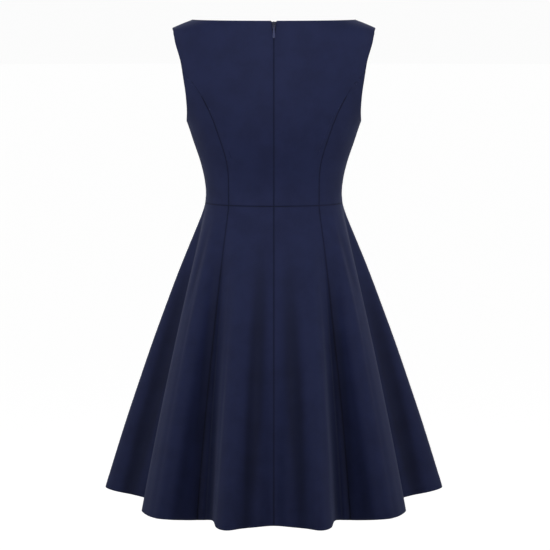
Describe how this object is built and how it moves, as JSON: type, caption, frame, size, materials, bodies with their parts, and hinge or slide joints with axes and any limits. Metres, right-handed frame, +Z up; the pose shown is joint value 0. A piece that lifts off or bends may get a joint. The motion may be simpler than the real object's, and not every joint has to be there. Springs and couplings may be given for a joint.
{
  "type": "a-line dress",
  "caption": "Sleeveless knee-length dress with a wide boat neck, princess seams, a waist seam, a flared gored skirt in soft folds and a concealed back zip.",
  "frame": {"origin": "midway between the two shoulder seams, level with their neck ends, where the wearer's shoulders hold the dress", "axes": "+Z up the body, +Y out of the back, -Y out of the front, +X to the wearer's left"},
  "size_m": [0.65, 0.6616, 0.9073],
  "materials": {
    "crepe": "matte navy crepe with a slight sheen",
    "zip_tape": "woven navy polyester tape",
    "zip_coil": "navy nylon coil",
    "zip_metal": "navy lacquered metal"
  },
  "bodies": {
    "dress": {"bodice_back_left": "crepe", "bodice_back_right": "crepe", "bodice_side_back_left": "crepe", "bodice_side_back_right": "crepe", "bodice_side_front_left": "crepe", "bodice_side_front_right": "crepe", "bodice_front": "crepe", "skirt_back_left": "crepe", "skirt_back_right": "crepe", "skirt_side_back_left": "crepe", "skirt_side_back_right": "crepe", "skirt_side_front_left": "crepe", "skirt_side_front_right": "crepe", "skirt_front": "crepe", "zip_tape_left": "zip_tape", "zip_tape_right": "zip_tape", "zip_coil": "zip_coil", "zip_slider": "zip_metal"},
    "pull": {"zip_pull": "zip_metal"}
  },
  "joints": [
    {"name": "pull_hinge", "type": "hinge", "parent": "dress", "child": "pull", "pos_m": [0, 0.08776, -0.01083], "axis": [1, 0, 0], "range_deg": [0, 170]}
  ]
}
